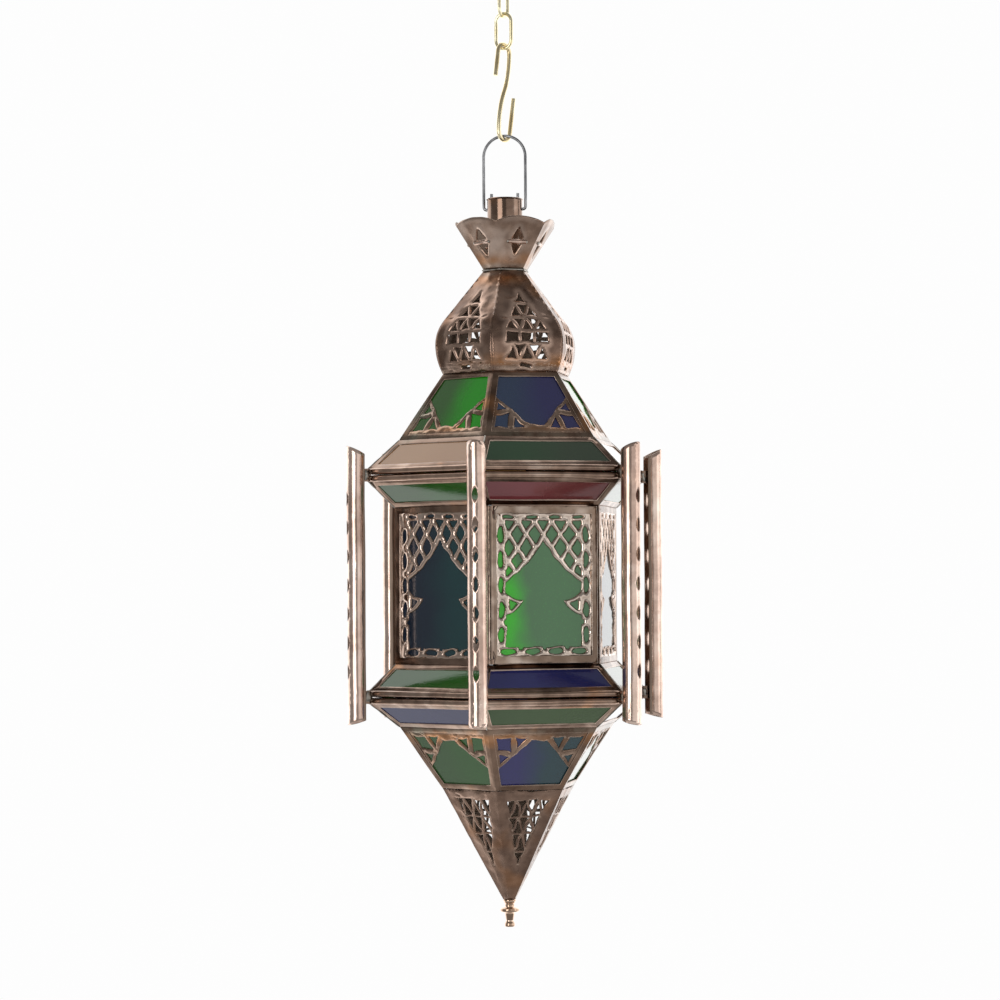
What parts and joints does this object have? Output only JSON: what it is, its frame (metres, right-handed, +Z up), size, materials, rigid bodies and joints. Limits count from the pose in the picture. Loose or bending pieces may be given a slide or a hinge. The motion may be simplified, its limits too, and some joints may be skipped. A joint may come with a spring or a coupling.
{
  "type": "ramadan fanous lantern",
  "caption": "Hexagonal hanging fanous lantern of pierced copper sheet and coloured glass, with onion dome, split-tube corner columns, hinged door, candle cup, wire bail, S-hook and chain.",
  "frame": {"origin": "inside top of the upper chain link, where the lantern hangs", "axes": "+Z up along the hanging axis, -Y out of the front face that carries the door"},
  "size_m": [0.2828, 0.247, 0.8038],
  "materials": {
    "brass_wire": "drawn brass wire",
    "steel_wire": "dark steel wire",
    "copper_sheet": "aged copper sheet",
    "copper_bar": "folded copper strip",
    "copper_turned": "turned copper",
    "tinned_iron": "tinned sheet iron",
    "green_glass": "pebbled green glass",
    "dark_green_glass": "pebbled dark green glass",
    "blue_glass": "pebbled blue glass",
    "amber_glass": "pebbled amber glass",
    "red_glass": "pebbled red glass"
  },
  "bodies": {
    "chain_top": {"top_link": "brass_wire"},
    "chain_low": {"lower_link": "brass_wire"},
    "hook": {"s_hook": "brass_wire"},
    "handle": {"bail": "steel_wire"},
    "lantern": {"hinge_pin": "steel_wire", "neck_tube": "copper_sheet", "neck_plate": "copper_sheet", "crown_petals": "copper_sheet", "dome_gores": "copper_sheet", "upper_tier_spandrels": "copper_sheet", "lower_tier_spandrels": "copper_sheet", "window_grilles": "copper_sheet", "cone_panels": "copper_sheet", "columns": "copper_sheet", "upper_tier_frames": "copper_bar", "upper_belt_frames": "copper_bar", "upper_waist_rails": "copper_bar", "under_belt_frames": "copper_bar", "window_frames": "copper_bar", "door_surround": "copper_bar", "over_belt_frames": "copper_bar", "lower_waist_rails": "copper_bar", "lower_belt_frames": "copper_bar", "lower_tier_frames": "copper_bar", "column_stubs": "copper_bar", "hinge_lugs": "copper_bar", "finial": "copper_turned", "candle_tray": "tinned_iron", "tray_arms": "tinned_iron", "candle_cup": "tinned_iron", "upper_tier_blue_glass": "blue_glass", "upper_tier_green_glass": "green_glass", "upper_belt_green_glass": "dark_green_glass", "upper_belt_amber_glass": "amber_glass", "under_belt_red_glass": "red_glass", "under_belt_green_glass": "green_glass", "window_green_glass": "green_glass", "window_blue_glass": "blue_glass", "over_belt_blue_glass": "blue_glass", "over_belt_green_glass": "green_glass", "lower_belt_green_glass": "dark_green_glass", "lower_belt_blue_glass": "blue_glass", "lower_tier_blue_glass": "blue_glass", "lower_tier_green_glass": "green_glass"},
    "door": {"door_frame": "copper_bar", "door_grille": "copper_sheet", "door_glass": "green_glass"}
  },
  "joints": [
    {"name": "chain_swing", "type": "hinge", "parent": "chain_top", "child": "chain_low", "pos_m": [0, 0, -0.0285], "axis": [0.7431, 0.6691, 0], "range_deg": [-35, 35]},
    {"name": "hook_swing", "type": "hinge", "parent": "chain_low", "child": "hook", "pos_m": [0, 0, -0.0552], "axis": [0.6691, -0.7431, 0], "range_deg": [-35, 35]},
    {"name": "handle_swing", "type": "hinge", "parent": "hook", "child": "handle", "pos_m": [0, 0, -0.1327], "axis": [0.866, 0.5, 0], "range_deg": [-35, 35]},
    {"name": "lantern_swing", "type": "hinge", "parent": "handle", "child": "lantern", "pos_m": [0, 0, -0.19175], "axis": [0.866, -0.5, 0], "range_deg": [-30, 30]},
    {"name": "door_hinge", "type": "hinge", "parent": "lantern", "child": "door", "pos_m": [-0.0464, -0.0899, -0.5108], "axis": [0, 0, -1], "range_deg": [0, 95]}
  ]
}
